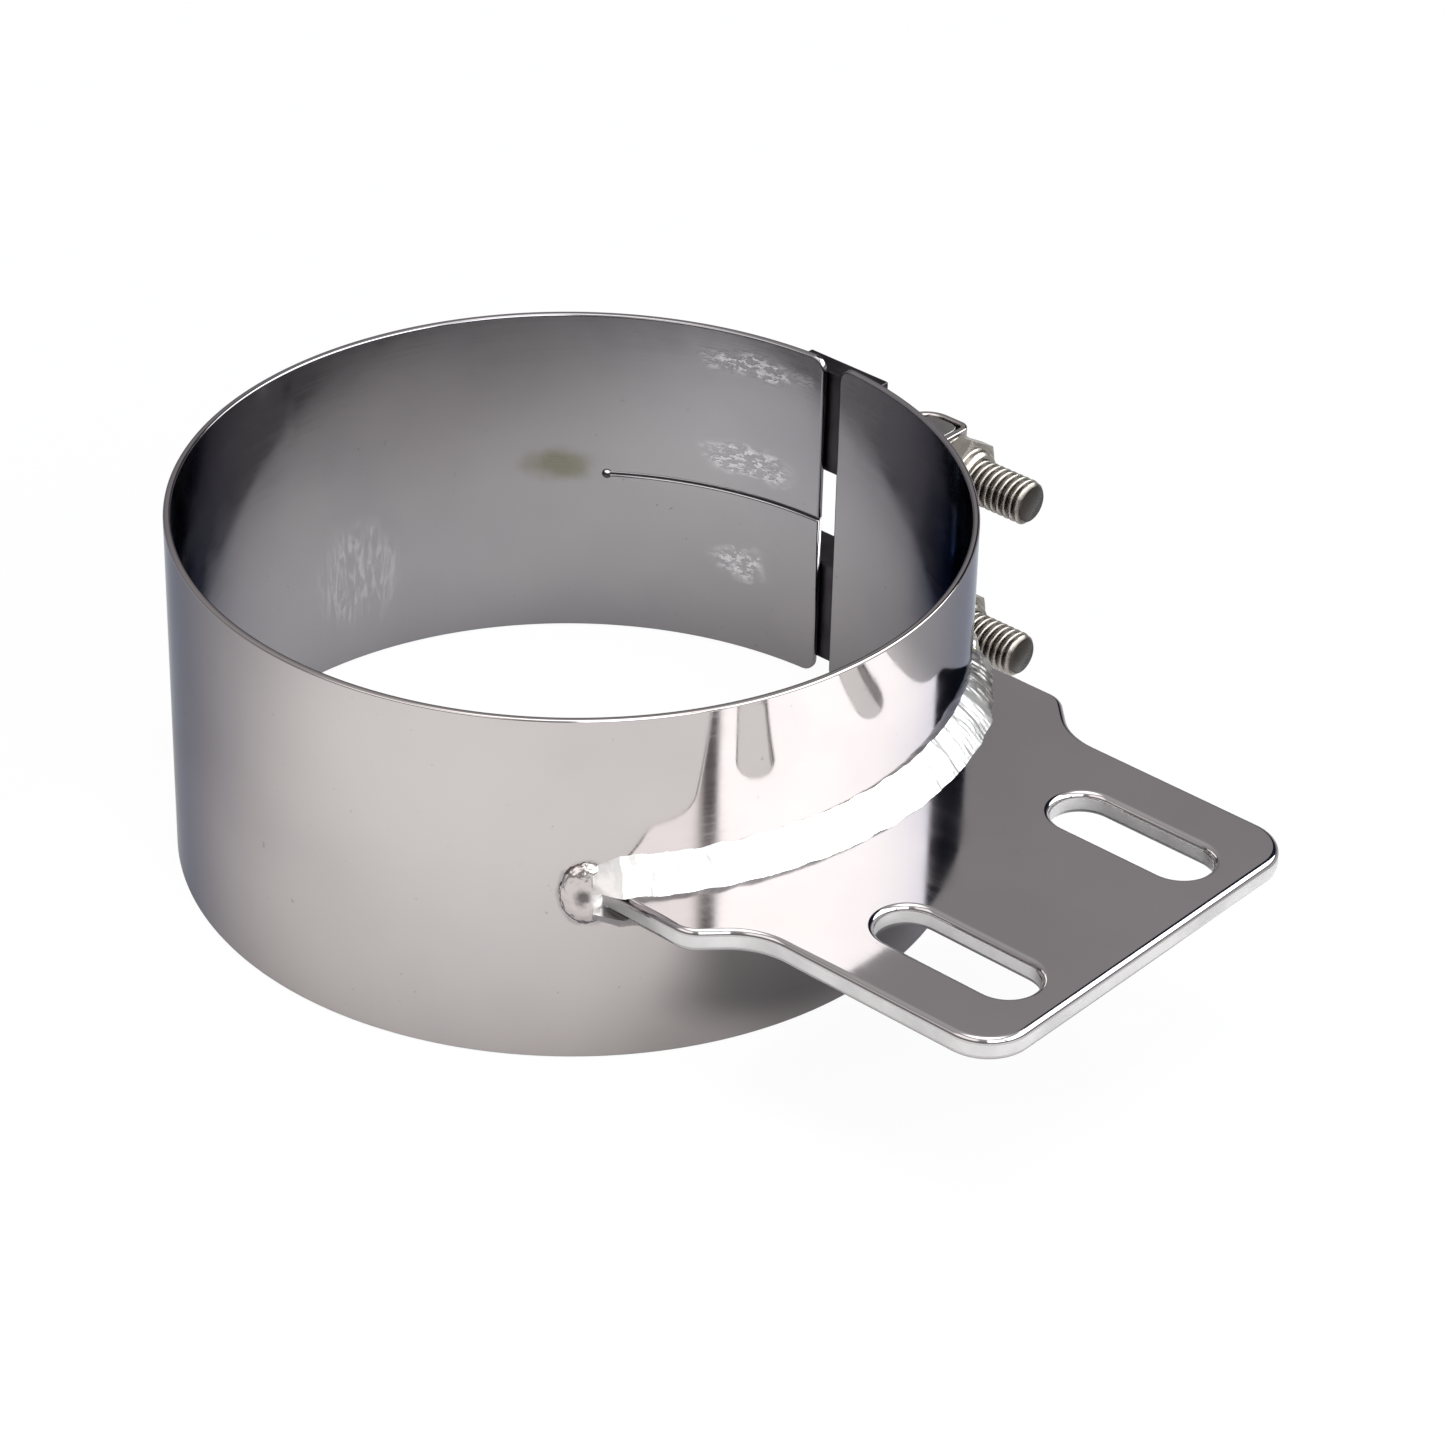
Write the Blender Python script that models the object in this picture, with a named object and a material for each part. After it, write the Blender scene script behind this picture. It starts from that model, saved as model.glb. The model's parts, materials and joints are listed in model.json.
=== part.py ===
"""A wide-band butt-joint pipe clamp for 6 inch pipe, with a slotted mounting bracket welded to the band.

Metres, +Z up. The row's origin is the centre of the bracket's slotted upper face, +Z is out of that face
and +X points away from the pipe. The empty clamp_axis stands on the pipe's axis at the band's mid height,
and every piece is placed from it: the gap between the band's ends is at +Y, and the bolts run along X.
"""

import math

import bmesh
import bpy
from mathutils import Matrix, Vector, geometry

MM = 0.001
GAP = 0.3 * MM  # left between pieces that touch on the real clamp

# band
PIPE_RADIUS = 76.2 * MM
WALL = 1.5 * MM
BAND_RADIUS = PIPE_RADIUS + WALL
BAND_HEIGHT = 74.0 * MM
BAND_GAP = 4.2 * MM
BAND_EDGE = 0.35 * MM
BAND_CORNER = 3.0 * MM
BAND_STEPS = 60  # facets along each half
SLIT_ANGLE = math.radians(37.5)
SLIT_HEIGHT = 0.8 * MM
STOP_HOLE_RADIUS = 1.1 * MM

# bracket
PLATE = 4.76 * MM
PLATE_EDGE = 0.65 * MM
PLATE_REACH = 64.0 * MM  # beyond the band
PLATE_WIDTH = 89.7 * MM
PLATE_CORNER = 9.5 * MM
YOKE_WIDTH = 108.4 * MM
YOKE_START = 76.0 * MM  # where the yoke's straight sides end, from the pipe's axis
YOKE_ROUND = 6.0 * MM
NECK_ROUND = 14.0 * MM
SLOT_WIDTH = 12.7 * MM
SLOT_LENGTH = 34.9 * MM
SLOT_PITCH = 50.8 * MM
SLOT_CENTRE = 117.6 * MM  # from the pipe's axis

# welds
WELD_LEG = 5.4 * MM
WELD_CROWN = 0.5 * MM
WELD_END_SIZE = Vector((2.6 * MM, 3.4 * MM, 5.6 * MM))  # radial, along the band, up
WELD_END_ANGLE = math.radians(45.9)

# motion: the free half opens about the spine, and the bolts move with it
OPENING = math.radians(3.0)
BOLT_INWARD = 1.5 * MM  # a bolt's move towards the pipe as the clamp opens
BOLT_OUTWARD = 0.5 * MM  # and away from it as the clamp closes

# clamping hardware: one set above the middle of the band and one below
BOLT_Y = 86.7 * MM
BOLT_Z = 17.8 * MM
BOLT_RADIUS = 4.6 * MM
BOLT_END_X = 44.2 * MM
BOLT_CHAMFER = 0.9 * MM
TENON_RADIUS = 3.0 * MM
THREAD_CLEARANCE = 0.08 * MM
HOLE_RADIUS = 4.76 * MM
STRAP = 1.4 * MM
STRAP_BEND = 2.4 * MM
LOOP_Y = 93.4 * MM
LOOP_HEIGHT = 14.2 * MM
RIGHT_LOOP = (10.3 * MM, 23.0 * MM)
LEFT_LOOP = (-29.5 * MM, -15.9 * MM)
BIGHT_ROUND = 6.4 * MM
BLOCK_X = (-11.0 * MM, 9.3 * MM)
BLOCK_Y = 88.0 * MM
BLOCK_Z = (10.8 * MM, 33.8 * MM)  # from the band's mid height
BLOCK_THIN_Y = 83.0 * MM
BLOCK_SHOULDER = 7.0 * MM  # from the bolt to where the block thins
ANCHOR_LENGTH = 8.0 * MM
ANCHOR_HEIGHT = 13.6 * MM
ANCHOR_CHAMFER = 2.0 * MM
TRUNNION_RADIUS = 5.0 * MM
TRUNNION_HEIGHT = 13.6 * MM
TRUNNION_X = LEFT_LOOP[1] - STRAP - GAP - TRUNNION_RADIUS
WASHER_RADIUS = 7.2 * MM
WASHER_BORE = 5.1 * MM
WASHER = 1.0 * MM
NUT_FLATS = 14.3 * MM
NUT_HEX = 4.3 * MM
NUT_CHAMFER = 0.9 * MM
COLLAR = 1.9 * MM  # the nut's locking collar, beyond its hexagon
COLLAR_RADIUS = 6.1 * MM
ROUND_STEPS = 36
ARC_STEP = math.radians(12)
SEAT_STEP = math.radians(3)  # on faces that follow the band
FLAT_NORMAL = 0.999


# materials
def steel(name, colour, roughness):
    material = bpy.data.materials.new(name)
    material.use_nodes = True
    shader = material.node_tree.nodes["Principled BSDF"]
    shader.inputs["Base Color"].default_value = (*colour, 1)
    shader.inputs["Metallic"].default_value = 1
    shader.inputs["Roughness"].default_value = roughness
    material.diffuse_color = (*colour, 1)
    return material


# scene helpers
def clear_scene():
    for item in list(bpy.data.objects):
        bpy.data.objects.remove(item)


def link(name, data, parent, place=(0, 0, 0), material=None):
    item = bpy.data.objects.new(name, data)
    bpy.context.scene.collection.objects.link(item)
    item.parent = parent
    item.location = place
    if material:
        data.materials.append(material)
    return item


def finished_mesh(name, bm, smooth_angle=math.radians(35)):
    bmesh.ops.recalc_face_normals(bm, faces=bm.faces)
    mesh = bpy.data.meshes.new(name)
    bm.to_mesh(mesh)
    bm.free()
    mesh.shade_smooth()
    mesh.set_sharp_from_angle(angle=smooth_angle)
    return mesh


def boolean(item, cutter, operation="DIFFERENCE"):
    """Leaves the cutter in the scene as a wire helper that isn't rendered."""
    cutter.hide_render = True
    cutter.display_type = "WIRE"
    modifier = item.modifiers.new(cutter.name, "BOOLEAN")
    modifier.operation = operation
    modifier.solver = "EXACT"
    modifier.object = cutter


# outlines
def arc(centre, radius, start, end, step=ARC_STEP):
    """Points along an arc, both ends included, no further apart than a step."""
    count = max(1, math.ceil(abs(end - start) / step - 1e-6))
    angles = [start + (end - start) * i / count for i in range(count + 1)]
    return [(centre[0] + radius * math.cos(a), centre[1] + radius * math.sin(a)) for a in angles]


def rounded(corners):
    """An outline through (x, y, radius) corners, each turned into an arc of its radius."""
    points = []
    for i, (x, y, radius) in enumerate(corners):
        here = Vector((x, y))
        back = (Vector(corners[i - 1][:2]) - here).normalized()
        ahead = (Vector(corners[(i + 1) % len(corners)][:2]) - here).normalized()
        if radius <= 0:
            points.append((x, y))
            continue
        half = back.angle(ahead) / 2
        middle = here + (back + ahead).normalized() * radius / math.sin(half)
        first = here + back * radius / math.tan(half) - middle
        last = here + ahead * radius / math.tan(half) - middle
        start = math.atan2(first.y, first.x)
        turn = math.remainder(math.atan2(last.y, last.x) - start, 2 * math.pi)
        points += arc(middle, radius, start, start + turn)
    return points


def slot_outline(centre, length, width):
    x, y = centre
    run = (length - width) / 2
    half_turn = math.pi / 2
    right = arc((x + run, y), width / 2, -half_turn, half_turn)
    left = arc((x - run, y), width / 2, half_turn, 3 * half_turn)
    return right + left


def bracket_outline():
    """Half the outline from the band out to the end, and its mirror image."""
    side = YOKE_WIDTH / 2
    half_width = PLATE_WIDTH / 2
    seat = BAND_RADIUS + GAP
    ear = math.asin(side / seat)
    end = BAND_RADIUS + PLATE_REACH
    slope = math.pi / 4
    up = math.pi / 2
    yoke_arc = arc((YOKE_START, side - YOKE_ROUND), YOKE_ROUND, up, up - slope)
    drop = side - half_width - (YOKE_ROUND + NECK_ROUND) * (1 - math.cos(slope))
    neck_x = yoke_arc[-1][0] + drop + NECK_ROUND * math.sin(slope)
    neck_arc = arc((neck_x, half_width + NECK_ROUND), NECK_ROUND, -up - slope, -up)
    corner = arc((end - PLATE_CORNER, half_width - PLATE_CORNER), PLATE_CORNER, up, 0)
    half = yoke_arc + neck_arc + corner
    mirrored = [(x, -y) for x, y in reversed(half)]
    return arc((0, 0), seat, -ear, ear, SEAT_STEP) + half + mirrored


def strap_outlines(near, far, near_round, far_round):
    """The outside and the cavity of a folded strap on the band from x = near to x = far."""
    outlines = []
    for inset in (0, STRAP):
        radius = BAND_RADIUS + GAP + inset
        x_near = near + math.copysign(inset, far - near)
        x_far = far - math.copysign(inset, far - near)
        angles = [math.acos(x / radius) for x in (x_near, x_far)]
        foot = arc((0, 0), radius, *angles, SEAT_STEP)
        bend = STRAP_BEND - inset
        corners = [(*foot[0], bend)] + [(x, y, 0) for x, y in foot[1:-1]] + [(*foot[-1], bend)]
        top = LOOP_Y - inset
        corners += [(x_far, top, far_round - inset), (x_near, top, near_round - inset)]
        outlines.append(rounded(corners))
    return outlines


# meshes
def within(point, segments):
    """True where a line from the point towards +X crosses an odd number of segments."""
    x, y = point
    crossings = 0
    for (ax, ay), (bx, by) in segments:
        if (ay > y) != (by > y) and x < ax + (bx - ax) * (y - ay) / (by - ay):
            crossings += 1
    return crossings % 2 == 1


def even_out(bm):
    """Fills a sheet's two flat faces again by a Delaunay triangulation, which avoids long triangles."""
    for side in (1, -1):
        bm.normal_update()
        flat = [face for face in bm.faces if side * face.normal.z > FLAT_NORMAL]
        members = set(flat)
        rim = [edge for edge in bm.edges if len(members.intersection(edge.link_faces)) == 1]
        verts = sorted({vert for edge in rim for vert in edge.verts}, key=lambda vert: tuple(vert.co))
        bmesh.ops.delete(bm, geom=flat, context="FACES")
        order = {vert: i for i, vert in enumerate(verts)}
        points = [vert.co.xy for vert in verts]
        sides = [(order[edge.verts[0]], order[edge.verts[1]]) for edge in rim]
        segments = [(points[i], points[j]) for i, j in sides]
        filled = geometry.delaunay_2d_cdt(points, sides, [], 1, 1e-9)
        for corners in filled[2]:
            centre = sum((filled[0][i] for i in corners), Vector((0, 0))) / len(corners)
            if within(centre, segments):
                bm.faces.new([verts[filled[3][i][0]] for i in corners])


def sheet_mesh(name, outlines, thickness, edge):
    """A plate centred on z = 0, from outlines in the XY plane, with rounded edges; later ones are holes."""
    curve = bpy.data.curves.new(name, "CURVE")
    curve.dimensions = "2D"
    curve.fill_mode = "BOTH"
    curve.extrude = thickness / 2 - edge
    curve.bevel_depth = edge
    curve.bevel_resolution = 1
    curve.offset = -edge
    for outline in outlines:
        spline = curve.splines.new("POLY")
        spline.points.add(len(outline) - 1)
        spline.use_cyclic_u = True
        for point, (x, y) in zip(spline.points, outline):
            point.co = (x, y, 0, 1)
    guide = bpy.data.objects.new(name + "_guide", curve)
    bm = bmesh.new()
    bm.from_mesh(bpy.data.meshes.new_from_object(guide))
    bmesh.ops.remove_doubles(bm, verts=bm.verts, dist=0.002 * MM)
    bpy.data.objects.remove(guide)
    even_out(bm)
    return finished_mesh(name, bm)


def swept_mesh(name, section, start, angle, steps):
    """A closed section of (radius, z) points, swept about the pipe's axis from start by angle."""
    bm = bmesh.new()
    face = bm.faces.new([bm.verts.new((r, 0, z)) for r, z in section])
    bmesh.ops.rotate(bm, verts=bm.verts, matrix=Matrix.Rotation(start, 3, "Z"))
    bmesh.ops.spin(
        bm, geom=[face, *face.edges, *face.verts], axis=(0, 0, 1), cent=(0, 0, 0), angle=angle, steps=steps
    )
    return finished_mesh(name, bm)


def band_section():
    """The band's section with chamfered edges, as (radius, z) points."""
    top = BAND_HEIGHT / 2
    side = top - BAND_EDGE
    rim_outer = BAND_RADIUS - BAND_EDGE
    rim_inner = PIPE_RADIUS + BAND_EDGE
    outer = [(rim_outer, top), (BAND_RADIUS, side), (BAND_RADIUS, -side), (rim_outer, -top)]
    inner = [(rim_inner, -top), (PIPE_RADIUS, -side), (PIPE_RADIUS, side), (rim_inner, top)]
    return outer + inner


def turned_mesh(name, profile):
    """A ring or a rod turned about X, from a profile of (x, radius).

    A rod's profile starts and ends on the axis.
    """
    bm = bmesh.new()
    verts = [bm.verts.new((x, 0, r)) for x, r in profile]
    edges = [bm.edges.new(pair) for pair in zip(verts, verts[1:])]
    if profile[0][1] > 0:
        edges.append(bm.edges.new((verts[-1], verts[0])))
    bmesh.ops.spin(
        bm,
        geom=verts + edges,
        axis=(1, 0, 0),
        cent=(0, 0, 0),
        angle=2 * math.pi,
        steps=ROUND_STEPS,
        use_merge=True,
    )
    bmesh.ops.remove_doubles(bm, verts=bm.verts, dist=0.001 * MM)
    return finished_mesh(name, bm)


def box_mesh(name, low, high, bevel=0.0, bevel_edges=None):
    bm = bmesh.new()
    bmesh.ops.create_cube(bm, size=1)
    low, high = Vector(low), Vector(high)
    bmesh.ops.scale(bm, verts=bm.verts, vec=high - low)
    bmesh.ops.translate(bm, verts=bm.verts, vec=(low + high) / 2)
    if bevel:
        edges = [e for e in bm.edges if bevel_edges is None or bevel_edges(e)]
        bmesh.ops.bevel(bm, geom=edges, offset=bevel, segments=2, profile=0.5, affect="EDGES")
    return finished_mesh(name, bm)


def rod_mesh(name, radius, depth, axis, place=(0, 0, 0), sides=ROUND_STEPS, roll=0.0):
    """A plain cylinder along a unit axis, centred on place and rolled about its own axis."""
    bm = bmesh.new()
    aim = Vector((0, 0, 1)).rotation_difference(Vector(axis)).to_matrix().to_4x4()
    turn = aim @ Matrix.Rotation(roll, 4, "Z")
    bmesh.ops.create_cone(
        bm,
        cap_ends=True,
        segments=sides,
        radius1=radius,
        radius2=radius,
        depth=depth,
        matrix=Matrix.Translation(place) @ turn,
    )
    return finished_mesh(name, bm)


def prism_mesh(name, outline, start, end):
    """A prism along X from an outline of (y, z) points."""
    bm = bmesh.new()
    face = bm.faces.new([bm.verts.new((start, y, z)) for y, z in outline])
    moved = bmesh.ops.extrude_face_region(bm, geom=[face])["geom"]
    verts = [v for v in moved if isinstance(v, bmesh.types.BMVert)]
    bmesh.ops.translate(bm, verts=verts, vec=(end - start, 0, 0))
    return finished_mesh(name, bm)


def passage_outline():
    """The obround that a bolt needs as the clamp opens and closes."""
    up = math.pi / 2
    outer = arc((BOLT_Y + BOLT_OUTWARD, 0), HOLE_RADIUS, -up, up)
    return outer + arc((BOLT_Y - BOLT_INWARD, 0), HOLE_RADIUS, up, 3 * up)


def groove_outline():
    """The passage, open on its outer side."""
    up = math.pi / 2
    open_y = BLOCK_Y + 4 * MM
    floor = arc((BOLT_Y - BOLT_INWARD, 0), HOLE_RADIUS, up, 3 * up)
    return [(open_y, -HOLE_RADIUS), (open_y, HOLE_RADIUS)] + floor


def corner_cutter_mesh(name, side):
    """Two prisms along Y that round a band end's upper and lower corners. side is the sign of X."""
    edge_x = side * BAND_GAP / 2
    top = BAND_HEIGHT / 2
    centre = (edge_x + side * BAND_CORNER, top - BAND_CORNER)
    start = math.pi if side < 0 else 0
    quarter = arc(centre, BAND_CORNER, math.pi / 2, math.pi - start)
    clear_x = edge_x - side * MM
    outline = quarter + [(clear_x, centre[1]), (clear_x, top + MM), (centre[0], top + MM)]
    bm = bmesh.new()
    for mirror in (1, -1):
        verts = [bm.verts.new((x, BAND_RADIUS - 5 * MM, mirror * z)) for x, z in outline]
        face = bm.faces.new(verts)
        moved = bmesh.ops.extrude_face_region(bm, geom=[face])["geom"]
        verts = [v for v in moved if isinstance(v, bmesh.types.BMVert)]
        bmesh.ops.translate(bm, verts=verts, vec=(0, 8 * MM, 0))
    return finished_mesh(name, bm)


# band
def add_band_half(name, side, parent, material):
    """Half the band, from the spine opposite the gap to one of its ends. side is the sign of X."""
    kerf = GAP / 2 / BAND_RADIUS
    end = math.asin(BAND_GAP / 2 / BAND_RADIUS)
    start = -math.pi / 2 + side * kerf
    turn = side * (math.pi - kerf - end)
    mesh = swept_mesh(name, band_section(), start, turn, BAND_STEPS)
    spine = parent.location if side < 0 else Vector()
    mesh.transform(Matrix.Translation(-spine))
    half = link(name, mesh, parent, material=material)
    cutter_mesh = corner_cutter_mesh(name + "_corners", side)
    boolean(half, link(name + "_corners", cutter_mesh, parent, -spine))
    return half


def cut_slit(half):
    """The slit along the free half's mid height, and the hole that stops it."""
    spine = half.parent.location
    inside = PIPE_RADIUS - 2 * MM
    outside = BAND_RADIUS + 2 * MM
    edge = SLIT_HEIGHT / 2
    section = [(inside, -edge), (outside, -edge), (outside, edge), (inside, edge)]
    slit = swept_mesh("slit_cutter", section, math.pi / 2, SLIT_ANGLE, 12)
    boolean(half, link("slit_cutter", slit, half.parent, -spine))
    angle = math.pi / 2 + SLIT_ANGLE
    outward = Vector((math.cos(angle), math.sin(angle), 0))
    hole = rod_mesh("stop_hole_cutter", STOP_HOLE_RADIUS, 8 * MM, outward, outward * BAND_RADIUS, 16)
    boolean(half, link("stop_hole_cutter", hole, half.parent, -spine))


# bracket and welds
def add_bracket(parent, material):
    centres = [(SLOT_CENTRE, side * SLOT_PITCH / 2) for side in (-1, 1)]
    slots = [slot_outline(centre, SLOT_LENGTH, SLOT_WIDTH) for centre in centres]
    mesh = sheet_mesh("bracket_plate", [bracket_outline(), *slots], PLATE, PLATE_EDGE)
    link("bracket_plate", mesh, parent, material=material)


def add_weld_bead(name, side, parent, material):
    """A fillet along the band, above or below the plate; side is the sign of Z."""
    root = BAND_RADIUS + GAP
    floor = PLATE / 2 + GAP
    crown = WELD_LEG / 2 + WELD_CROWN
    toes = [(root, floor), (root + WELD_LEG, floor)]
    section = toes + [(root + crown, floor + crown), (root, floor + WELD_LEG)]
    reach = math.asin(YOKE_WIDTH / 2 / root) + math.radians(2)
    mesh = swept_mesh(name, [(r, side * z) for r, z in section], -reach, 2 * reach, 30)
    bead = link(name, mesh, parent, material=material)
    half = YOKE_WIDTH / 2
    keep = box_mesh(name + "_ends", (0, -half, -20 * MM), (BAND_RADIUS * 2, half, 20 * MM))
    boolean(bead, link(name + "_ends", keep, parent), "INTERSECT")


def add_weld_end(name, side, parent, material):
    """The lump that closes the weld round one end of the yoke; side is the sign of Y."""
    bm = bmesh.new()
    bmesh.ops.create_uvsphere(bm, u_segments=20, v_segments=12, radius=1)
    bmesh.ops.scale(bm, verts=bm.verts, vec=WELD_END_SIZE)
    angle = side * WELD_END_ANGLE
    place = Matrix.Rotation(angle, 4, "Z") @ Matrix.Translation((BAND_RADIUS + GAP, 0, 0))
    bmesh.ops.transform(bm, verts=bm.verts, matrix=place)
    lump = link(name, finished_mesh(name, bm), parent, material=material)
    inside = rod_mesh(name + "_seat", BAND_RADIUS + GAP, 30 * MM, (0, 0, 1), sides=180)
    boolean(lump, link(name + "_seat", inside, parent))
    half = YOKE_WIDTH / 2 + GAP
    yoke = box_mesh(name + "_yoke", (0, -half, -20 * MM), (BAND_RADIUS * 2, half, 20 * MM))
    boolean(lump, link(name + "_yoke", yoke, parent))


# clamping hardware
def add_loop(name, outlines, parent, place, material):
    """A folded strap loop with a passage for the bolt through each wall that it crosses."""
    mesh = sheet_mesh(name, outlines, LOOP_HEIGHT, BAND_EDGE)
    loop = link(name, mesh, parent, place, material)
    passage = prism_mesh(name + "_passage", passage_outline(), TRUNNION_X, BOLT_END_X)
    boolean(loop, link(name + "_passage", passage, parent, place))


def add_reaction_block(name, parent, z, material):
    """The block behind the gap, which seats on both band ends and has an open groove for the bolt.

    Its seat is cut twice: for the clamp at rest, and for the free half's place when it stands open.
    """
    low, high = sorted(math.copysign(limit, z) - z for limit in BLOCK_Z)
    mesh = box_mesh(name, (BLOCK_X[0], PIPE_RADIUS - 4 * MM, low), (BLOCK_X[1], BLOCK_Y, high))
    block = link(name, mesh, parent, (0, 0, z), material)
    low, high = sorted(math.copysign(limit, z) for limit in (BLOCK_SHOULDER, BLOCK_Z[1]))
    step_low = (BLOCK_X[0] - MM, BLOCK_THIN_Y, low)
    step_high = (BLOCK_X[1] + MM, BLOCK_Y + MM, high)
    step = box_mesh(name + "_step", step_low, step_high)
    boolean(block, link(name + "_step", step, parent, block.location))
    opened = Vector((-2 * BAND_RADIUS * math.sin(OPENING / 2), 0, 0))
    for label, seat_place in (("seat", Vector()), ("opened_seat", opened)):
        seat = rod_mesh(f"{name}_{label}", BAND_RADIUS + GAP, 50 * MM, (0, 0, 1), seat_place, 180)
        boolean(block, link(f"{name}_{label}", seat, parent, block.location))
    groove = prism_mesh(name + "_groove", groove_outline(), TRUNNION_X, BOLT_END_X)
    boolean(block, link(name + "_groove", groove, parent, block.location))


def add_anchor(name, parent, z, material):
    """The block inside the nut-side loop that the nut clamps against, through the loop's end wall."""
    high_x = RIGHT_LOOP[1] - STRAP - GAP
    low = (high_x - ANCHOR_LENGTH, BAND_RADIUS + 0.8 * MM, -ANCHOR_HEIGHT / 2)
    high = (high_x, LOOP_Y - STRAP - GAP, ANCHOR_HEIGHT / 2)
    mesh = box_mesh(
        name,
        low,
        high,
        ANCHOR_CHAMFER,
        lambda edge: abs(edge.verts[0].co.z - edge.verts[1].co.z) > MM and edge.verts[0].co.y > BOLT_Y,
    )
    block = link(name, mesh, parent, (0, 0, z), material)
    passage = prism_mesh(name + "_passage", passage_outline(), TRUNNION_X, BOLT_END_X)
    boolean(block, link(name + "_passage", passage, parent, block.location))


def add_bolt(name, pivot, material):
    """The bolt along X through the pivot: a tenon in the trunnion, then the threaded shank."""
    end = BOLT_END_X - TRUNNION_X
    tenon = TRUNNION_RADIUS - GAP
    profile = [
        (-tenon, 0),
        (-tenon, TENON_RADIUS),
        (TRUNNION_RADIUS + GAP, TENON_RADIUS),
        (TRUNNION_RADIUS + GAP, BOLT_RADIUS),
        (end - BOLT_CHAMFER, BOLT_RADIUS),
        (end, BOLT_RADIUS - BOLT_CHAMFER),
        (end, 0),
    ]
    link(name, turned_mesh(name, profile), pivot, material=material)


def add_trunnion(name, pivot, material):
    bar = link(name, rod_mesh(name, TRUNNION_RADIUS, TRUNNION_HEIGHT, (0, 0, 1)), pivot, material=material)
    hole = rod_mesh(name + "_hole", TENON_RADIUS + GAP, 30 * MM, (1, 0, 0))
    boolean(bar, link(name + "_hole", hole, pivot))


def add_washer(name, pivot, material):
    start = RIGHT_LOOP[1] + GAP - TRUNNION_X
    profile = [
        (start, WASHER_BORE),
        (start, WASHER_RADIUS),
        (start + WASHER, WASHER_RADIUS),
        (start + WASHER, WASHER_BORE),
    ]
    link(name, turned_mesh(name, profile), pivot, material=material)


def add_nut(name, pivot, material):
    """A lock nut: a chamfered hexagon with two corners up and down, then a round collar.

    Its bore runs on the bolt with a small clearance.
    """
    start = RIGHT_LOOP[1] + 2 * GAP + WASHER - TRUNNION_X
    shoulder = start + NUT_HEX
    corner = NUT_FLATS / math.sqrt(3)
    bore = BOLT_RADIUS + THREAD_CLEARANCE
    rim = corner + 0.1 * MM
    profile = [
        (start, bore),
        (start, corner - NUT_CHAMFER),
        (start + NUT_CHAMFER / 2, rim),
        (shoulder - NUT_CHAMFER / 2, rim),
        (shoulder, corner - NUT_CHAMFER),
        (shoulder, COLLAR_RADIUS),
        (shoulder + COLLAR, COLLAR_RADIUS - COLLAR / 4),
        (shoulder + COLLAR, bore),
    ]
    nut = link(name, turned_mesh(name, profile), pivot, material=material)
    hexagon = rod_mesh(name + "_hexagon", corner, 4 * NUT_HEX, (1, 0, 0), (shoulder, 0, 0), 6, math.pi / 6)
    boolean(nut, link(name + "_hexagon", hexagon, pivot), "INTERSECT")


def build():
    clear_scene()
    polished = steel("polished_stainless", (0.62, 0.59, 0.58), 0.08)
    bright_plate = steel("polished_plate", (0.45, 0.43, 0.42), 0.12)
    weld = steel("weld_metal", (0.72, 0.70, 0.68), 0.35)
    fastener = steel("fastener_steel", (0.50, 0.46, 0.43), 0.30)

    axis = link("clamp_axis", None, None, (-SLOT_CENTRE, 0, -PLATE / 2))
    spine = link("spine_axis", None, axis, (0, -(PIPE_RADIUS + WALL / 2), 0))

    add_band_half("band_bracket_half", 1, axis, polished)
    cut_slit(add_band_half("band_free_half", -1, spine, polished))
    add_bracket(axis, bright_plate)
    for name, side in (("top", 1), ("bottom", -1)):
        add_weld_bead(f"weld_bead_{name}", side, axis, weld)
    for name, side in (("right", -1), ("left", 1)):
        add_weld_end(f"weld_end_{name}", side, axis, weld)

    nut_loop = strap_outlines(*RIGHT_LOOP, BIGHT_ROUND, STRAP_BEND)
    trunnion_loop = strap_outlines(*reversed(LEFT_LOOP), BIGHT_ROUND, STRAP_BEND)
    for level, z in (("upper", BOLT_Z), ("lower", -BOLT_Z)):
        add_loop(f"{level}_nut_loop", nut_loop, axis, Vector((0, 0, z)), polished)
        on_spine = Vector((0, 0, z)) - spine.location
        add_loop(f"{level}_trunnion_loop", trunnion_loop, spine, on_spine, polished)
        add_reaction_block(f"{level}_reaction_block", axis, z, fastener)
        add_anchor(f"{level}_anchor_block", axis, z, fastener)
        pivot = link(f"{level}_pivot", None, spine, Vector((TRUNNION_X, BOLT_Y, z)) - spine.location)
        add_trunnion(f"{level}_trunnion", pivot, fastener)
        add_bolt(f"{level}_bolt", pivot, fastener)
        add_washer(f"{level}_washer", pivot, fastener)
        add_nut(f"{level}_nut", pivot, fastener)


build()
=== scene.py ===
"""Looks of the wide-band pipe clamp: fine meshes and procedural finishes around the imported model.

Metres, in the row's frame. The pipe's axis stands one mean band radius from the joint band_flex, towards +Y.
Angles round the band start at +X, where the bracket is, and turn towards the gap at +Y.
"""

import json
import math

import bmesh
import bpy
from mathutils import Matrix, Vector, noise


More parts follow.
